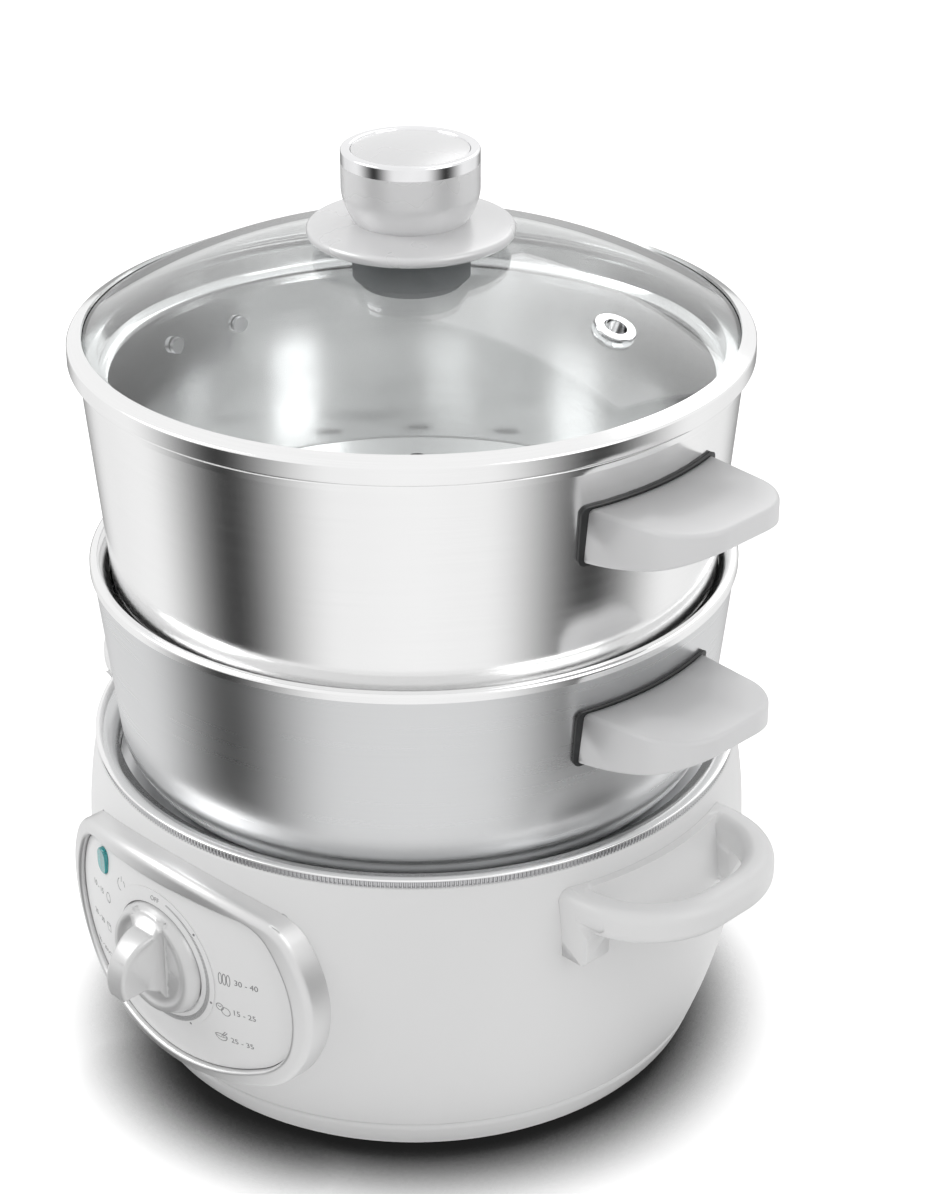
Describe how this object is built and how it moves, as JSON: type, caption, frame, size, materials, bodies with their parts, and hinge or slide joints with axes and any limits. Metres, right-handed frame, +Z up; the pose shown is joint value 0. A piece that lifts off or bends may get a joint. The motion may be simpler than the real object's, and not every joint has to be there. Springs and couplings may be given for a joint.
{
  "type": "electric food steamer",
  "caption": "Electric food steamer: white barrel base with timer knob panel, stacking steel baskets with grey grips, and a domed glass lid with a knob.",
  "frame": {"origin": "centre of the rubber foot ring's underside, on the vessel's vertical axis", "axes": "+Z up, the control panel faces -Y, the handles lie on +X and -X"},
  "size_m": [0.321, 0.2779, 0.3567],
  "materials": {
    "white_plastic": "satin",
    "bezel_silver": "satin",
    "panel_white": "satin",
    "knob_white": "satin",
    "grip_grey": "satin",
    "boss_grey": "matte",
    "basket_steel": "polished",
    "bright_trim": "polished",
    "lid_glass": "clear",
    "black_rubber": "matte",
    "clear_rubber": "matte",
    "teal_lens": "gloss",
    "lamp_glass": "clear",
    "cast_alloy": "cast",
    "plain_steel": "satin",
    "dark_plastic": "matte"
  },
  "bodies": {
    "base": {"foot_ring": "black_rubber", "bottom_cover": "white_plastic", "cover_screws": "plain_steel", "base_housing": "white_plastic", "ribbed_band": "bright_trim", "water_bowl": "basket_steel", "heating_plate": "cast_alloy", "heater_tube": "plain_steel", "heater_clamp": "plain_steel", "thermostat": "cast_alloy", "thermal_fuse": "dark_plastic", "terminal_block": "dark_plastic", "cord_gland": "black_rubber", "base_handle_left": "white_plastic", "base_handle_right": "white_plastic", "base_handle_screws": "plain_steel", "control_bezel": "bezel_silver", "control_plate": "panel_white", "panel_screws": "plain_steel", "dial_ring": "panel_white", "timer_body": "cast_alloy", "timer_nut": "plain_steel", "timer_bell": "cast_alloy", "indicator_lens": "teal_lens", "indicator_lamp": "lamp_glass"},
    "timer_dial": {"timer_knob": "knob_white", "timer_shaft": "plain_steel"},
    "steam_tray": {"tray_shell": "basket_steel", "tray_grid": "basket_steel"},
    "lower_basket": {"lower_shell": "basket_steel", "lower_rim": "basket_steel", "lower_grid": "basket_steel", "lower_handle_left": "grip_grey", "lower_handle_right": "grip_grey", "lower_gasket_left": "black_rubber", "lower_gasket_right": "black_rubber", "lower_handle_screws": "plain_steel"},
    "upper_basket": {"upper_shell": "basket_steel", "upper_rim": "basket_steel", "upper_grid": "basket_steel", "upper_handle_left": "grip_grey", "upper_handle_right": "grip_grey", "upper_gasket_left": "black_rubber", "upper_gasket_right": "black_rubber", "upper_handle_screws": "plain_steel"},
    "lid": {"lid_glass": "lid_glass", "lid_ring": "basket_steel", "vent_grommet": "bright_trim", "lid_knob": "grip_grey", "knob_ring": "bright_trim", "knob_cap": "grip_grey", "knob_washer": "clear_rubber", "knob_boss": "boss_grey", "knob_screw": "plain_steel"}
  },
  "joints": [
    {"name": "timer_turn", "type": "hinge", "parent": "base", "child": "timer_dial", "pos_m": [0, -0.1316, 0.081], "axis": [0, 1, 0], "range_deg": [0, 300]},
    {"name": "tray_lift", "type": "slide", "parent": "base", "child": "steam_tray", "axis": [0, 0, 1], "range_m": [0, 0.08]},
    {"name": "lower_basket_lift", "type": "slide", "parent": "steam_tray", "child": "lower_basket", "axis": [0, 0, 1], "range_m": [0, 0.06]},
    {"name": "upper_basket_lift", "type": "slide", "parent": "lower_basket", "child": "upper_basket", "axis": [0, 0, 1], "range_m": [0, 0.07]},
    {"name": "lid_lift", "type": "slide", "parent": "upper_basket", "child": "lid", "axis": [0, 0, 1], "range_m": [0, 0.07]}
  ]
}
